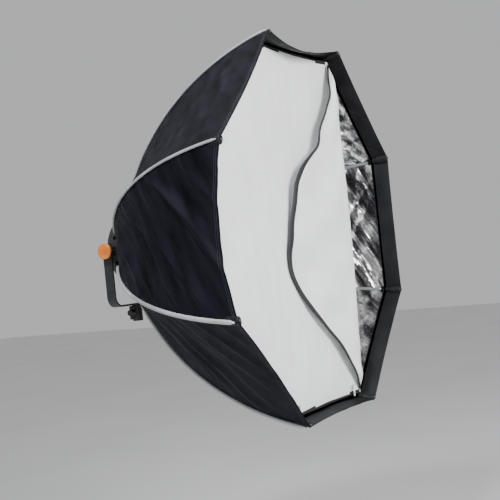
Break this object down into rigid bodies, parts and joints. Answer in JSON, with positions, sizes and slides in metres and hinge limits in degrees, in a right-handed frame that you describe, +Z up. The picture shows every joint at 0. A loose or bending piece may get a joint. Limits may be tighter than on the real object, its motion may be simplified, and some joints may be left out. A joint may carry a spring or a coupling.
{
  "type": "studio softbox",
  "caption": "Octagonal folding studio softbox with a black shell on bent rods, a recessed white diffuser with one side unzipped, and a speedring on a tilting bracket.",
  "frame": {"origin": "centre of the lamp insert's bore, where the light axis crosses the tilt axis", "axes": "-Y the way the light leaves, +Y towards the lamp head, +X right as seen from the front along +Y, +Z up; the tilt axis is X"},
  "size_m": [0.9992, 0.6822, 0.9992],
  "materials": {
    "shell_cloth": "black coated nylon with a soft satin sheen",
    "diffuser_cloth": "white translucent nylon",
    "rod_steel": "black coated spring rod",
    "knuckle_plastic": "black moulded nylon",
    "ring_alloy": "black powder coat",
    "latch_red": "red moulded buttons",
    "insert_alloy": "turned alloy",
    "screw_steel": "zinc plated",
    "yoke_steel": "black powder coat",
    "knob_black": "dark ribbed moulding",
    "knob_orange": "orange moulded cap",
    "zip_metal": "nickel plated",
    "pull_white": "white moulded pull"
  },
  "bodies": {
    "bracket": {"yoke": "yoke_steel", "stand_socket": "yoke_steel"},
    "ring": {"speedring_body": "ring_alloy", "speedring_front_plate": "ring_alloy", "speedring_rear_cover": "ring_alloy", "bayonet_insert": "insert_alloy", "hinge_pins": "screw_steel", "cover_screws": "screw_steel", "plate_screws": "screw_steel", "tilt_trunnions": "ring_alloy", "tilt_washers": "screw_steel"},
    "knob": {"tilt_knob": "knob_black", "tilt_knob_cap": "knob_orange"},
    "clamp": {"stand_clamp": "knob_black"},
    "rod_1": {"rod_1": "rod_steel", "rod_knuckle_1": "knuckle_plastic", "shell_panel_1": "shell_cloth"},
    "sector_1": {"diffuser_sector_1": "diffuser_cloth"},
    "latch_1": {"latch_button_1": "latch_red"},
    "rod_2": {"rod_2": "rod_steel", "rod_knuckle_2": "knuckle_plastic", "shell_panel_2": "shell_cloth"},
    "sector_2": {"diffuser_sector_2": "diffuser_cloth"},
    "latch_2": {"latch_button_2": "latch_red"},
    "rod_3": {"rod_3": "rod_steel", "rod_knuckle_3": "knuckle_plastic", "shell_panel_3": "shell_cloth"},
    "sector_3": {"diffuser_sector_3": "diffuser_cloth"},
    "latch_3": {"latch_button_3": "latch_red"},
    "rod_4": {"rod_4": "rod_steel", "rod_knuckle_4": "knuckle_plastic", "shell_panel_4": "shell_cloth"},
    "sector_4": {"diffuser_sector_4": "diffuser_cloth"},
    "latch_4": {"latch_button_4": "latch_red"},
    "rod_5": {"rod_5": "rod_steel", "rod_knuckle_5": "knuckle_plastic", "shell_panel_5": "shell_cloth"},
    "sector_5": {"diffuser_sector_5": "diffuser_cloth"},
    "latch_5": {"latch_button_5": "latch_red"},
    "rod_6": {"rod_6": "rod_steel", "rod_knuckle_6": "knuckle_plastic", "shell_panel_6": "shell_cloth"},
    "sector_6": {"diffuser_sector_6": "diffuser_cloth"},
    "latch_6": {"latch_button_6": "latch_red"},
    "rod_7": {"rod_7": "rod_steel", "rod_knuckle_7": "knuckle_plastic", "shell_panel_7": "shell_cloth"},
    "sector_7": {"diffuser_sector_7": "diffuser_cloth"},
    "latch_7": {"latch_button_7": "latch_red"},
    "rod_8": {"rod_8": "rod_steel", "rod_knuckle_8": "knuckle_plastic", "shell_panel_8": "shell_cloth"},
    "sector_8": {"diffuser_sector_8": "diffuser_cloth"},
    "latch_8": {"latch_button_8": "latch_red"},
    "flap": {"diffuser_flap": "diffuser_cloth"},
    "slider_a": {"zip_slider_a": "zip_metal"},
    "pull_a": {"zip_pull_a": "pull_white"},
    "slider_b": {"zip_slider_b": "zip_metal"},
    "pull_b": {"zip_pull_b": "pull_white"}
  },
  "joints": [
    {"name": "tilt", "type": "hinge", "parent": "bracket", "child": "ring", "pos_m": [0, 0, 0], "axis": [-1, 0, 0], "range_deg": [-12, 60]},
    {"name": "tilt_knob_turn", "type": "hinge", "parent": "ring", "child": "knob", "pos_m": [-0.125, 0, 0], "axis": [-1, 0, 0], "continuous": true},
    {"name": "stand_clamp_turn", "type": "hinge", "parent": "bracket", "child": "clamp", "pos_m": [-0.03, 0.005, -0.187], "axis": [-1, 0, 0], "continuous": true},
    {"name": "fold_1", "type": "hinge", "parent": "ring", "child": "rod_1", "pos_m": [0.03061, -0.012, 0.07391], "axis": [0.9239, 0, -0.3827], "range_deg": [0, 38], "deforming": ["shell_panel_1"]},
    {"name": "diffuser_fold_1", "type": "hinge", "parent": "rod_1", "child": "sector_1", "pos_m": [0.19708, -0.598, 0.4758], "axis": [0.9239, 0, -0.3827], "range_deg": [0, 52], "deforming": ["diffuser_sector_1"]},
    {"name": "latch_press_1", "type": "slide", "parent": "ring", "child": "latch_1", "axis": [0, -1, 0], "range_m": [0, 0.004], "stiffness_N_per_m": 400},
    {"name": "fold_2", "type": "hinge", "parent": "ring", "child": "rod_2", "pos_m": [0.07391, -0.012, 0.03061], "axis": [0.3827, 0, -0.9239], "range_deg": [0, 38], "deforming": ["shell_panel_2"]},
    {"name": "diffuser_fold_2", "type": "hinge", "parent": "rod_2", "child": "sector_2", "pos_m": [0.4758, -0.598, 0.19708], "axis": [0.3827, 0, -0.9239], "range_deg": [0, 52], "deforming": ["diffuser_sector_2"]},
    {"name": "latch_press_2", "type": "slide", "parent": "ring", "child": "latch_2", "axis": [0, -1, 0], "range_m": [0, 0.004], "stiffness_N_per_m": 400},
    {"name": "fold_3", "type": "hinge", "parent": "ring", "child": "rod_3", "pos_m": [0.07391, -0.012, -0.03061], "axis": [-0.3827, 0, -0.9239], "range_deg": [0, 38], "deforming": ["shell_panel_3"]},
    {"name": "diffuser_fold_3", "type": "hinge", "parent": "rod_3", "child": "sector_3", "pos_m": [0.4758, -0.598, -0.19708], "axis": [-0.3827, 0, -0.9239], "range_deg": [0, 52], "deforming": ["diffuser_sector_3"]},
    {"name": "latch_press_3", "type": "slide", "parent": "ring", "child": "latch_3", "axis": [0, -1, 0], "range_m": [0, 0.004], "stiffness_N_per_m": 400},
    {"name": "fold_4", "type": "hinge", "parent": "ring", "child": "rod_4", "pos_m": [0.03061, -0.012, -0.07391], "axis": [-0.9239, 0, -0.3827], "range_deg": [0, 38], "deforming": ["shell_panel_4"]},
    {"name": "diffuser_fold_4", "type": "hinge", "parent": "rod_4", "child": "sector_4", "pos_m": [0.19708, -0.598, -0.4758], "axis": [-0.9239, 0, -0.3827], "range_deg": [0, 52], "deforming": ["diffuser_sector_4"]},
    {"name": "latch_press_4", "type": "slide", "parent": "ring", "child": "latch_4", "axis": [0, -1, 0], "range_m": [0, 0.004], "stiffness_N_per_m": 400},
    {"name": "fold_5", "type": "hinge", "parent": "ring", "child": "rod_5", "pos_m": [-0.03061, -0.012, -0.07391], "axis": [-0.9239, 0, 0.3827], "range_deg": [0, 38], "deforming": ["shell_panel_5"]},
    {"name": "diffuser_fold_5", "type": "hinge", "parent": "rod_5", "child": "sector_5", "pos_m": [-0.19708, -0.598, -0.4758], "axis": [-0.9239, 0, 0.3827], "range_deg": [0, 52], "deforming": ["diffuser_sector_5"]},
    {"name": "latch_press_5", "type": "slide", "parent": "ring", "child": "latch_5", "axis": [0, -1, 0], "range_m": [0, 0.004], "stiffness_N_per_m": 400},
    {"name": "fold_6", "type": "hinge", "parent": "ring", "child": "rod_6", "pos_m": [-0.07391, -0.012, -0.03061], "axis": [-0.3827, 0, 0.9239], "range_deg": [0, 38], "deforming": ["shell_panel_6"]},
    {"name": "diffuser_fold_6", "type": "hinge", "parent": "rod_6", "child": "sector_6", "pos_m": [-0.4758, -0.598, -0.19708], "axis": [-0.3827, 0, 0.9239], "range_deg": [0, 52], "deforming": ["diffuser_sector_6"]},
    {"name": "latch_press_6", "type": "slide", "parent": "ring", "child": "latch_6", "axis": [0, -1, 0], "range_m": [0, 0.004], "stiffness_N_per_m": 400},
    {"name": "fold_7", "type": "hinge", "parent": "ring", "child": "rod_7", "pos_m": [-0.07391, -0.012, 0.03061], "axis": [0.3827, 0, 0.9239], "range_deg": [0, 38], "deforming": ["shell_panel_7"]},
    {"name": "diffuser_fold_7", "type": "hinge", "parent": "rod_7", "child": "sector_7", "pos_m": [-0.4758, -0.598, 0.19708], "axis": [0.3827, 0, 0.9239], "range_deg": [0, 52], "deforming": ["diffuser_sector_7"]},
    {"name": "latch_press_7", "type": "slide", "parent": "ring", "child": "latch_7", "axis": [0, -1, 0], "range_m": [0, 0.004], "stiffness_N_per_m": 400},
    {"name": "fold_8", "type": "hinge", "parent": "ring", "child": "rod_8", "pos_m": [-0.03061, -0.012, 0.07391], "axis": [0.9239, 0, 0.3827], "range_deg": [0, 38], "deforming": ["shell_panel_8"]},
    {"name": "diffuser_fold_8", "type": "hinge", "parent": "rod_8", "child": "sector_8", "pos_m": [-0.19708, -0.598, 0.4758], "axis": [0.9239, 0, 0.3827], "range_deg": [0, 52], "deforming": ["diffuser_sector_8"]},
    {"name": "latch_press_8", "type": "slide", "parent": "ring", "child": "latch_8", "axis": [0, -1, 0], "range_m": [0, 0.004], "stiffness_N_per_m": 400},
    {"name": "flap_swing", "type": "hinge", "parent": "sector_2", "child": "flap", "pos_m": [0.196, -0.59975, 0], "axis": [0, 0, 1], "range_deg": [0, 174], "deforming": ["diffuser_flap"]},
    {"name": "zip_slide_a", "type": "slide", "parent": "sector_5", "child": "slider_a", "axis": [1, 0, 0], "range_m": [0, 0.16]},
    {"name": "zip_pull_swing_a", "type": "hinge", "parent": "slider_a", "child": "pull_a", "pos_m": [-0.182, -0.607, -0.452], "axis": [-1, 0, 0], "range_deg": [0, 150]},
    {"name": "zip_slide_b", "type": "slide", "parent": "sector_4", "child": "slider_b", "axis": [-1, 0, 0], "range_m": [0, 0.13]},
    {"name": "zip_pull_swing_b", "type": "hinge", "parent": "slider_b", "child": "pull_b", "pos_m": [0.15, -0.607, -0.452], "axis": [-1, 0, 0], "range_deg": [0, 150]}
  ],
  "couplings": [
    {"joint": "diffuser_fold_1", "follows": "fold_1", "ratio": 1.36},
    {"joint": "fold_2", "follows": "fold_1", "ratio": 1},
    {"joint": "diffuser_fold_2", "follows": "fold_1", "ratio": 1.36},
    {"joint": "fold_3", "follows": "fold_1", "ratio": 1},
    {"joint": "diffuser_fold_3", "follows": "fold_1", "ratio": 1.36},
    {"joint": "fold_4", "follows": "fold_1", "ratio": 1},
    {"joint": "diffuser_fold_4", "follows": "fold_1", "ratio": 1.36},
    {"joint": "fold_5", "follows": "fold_1", "ratio": 1},
    {"joint": "diffuser_fold_5", "follows": "fold_1", "ratio": 1.36},
    {"joint": "fold_6", "follows": "fold_1", "ratio": 1},
    {"joint": "diffuser_fold_6", "follows": "fold_1", "ratio": 1.36},
    {"joint": "fold_7", "follows": "fold_1", "ratio": 1},
    {"joint": "diffuser_fold_7", "follows": "fold_1", "ratio": 1.36},
    {"joint": "fold_8", "follows": "fold_1", "ratio": 1},
    {"joint": "diffuser_fold_8", "follows": "fold_1", "ratio": 1.36}
  ]
}
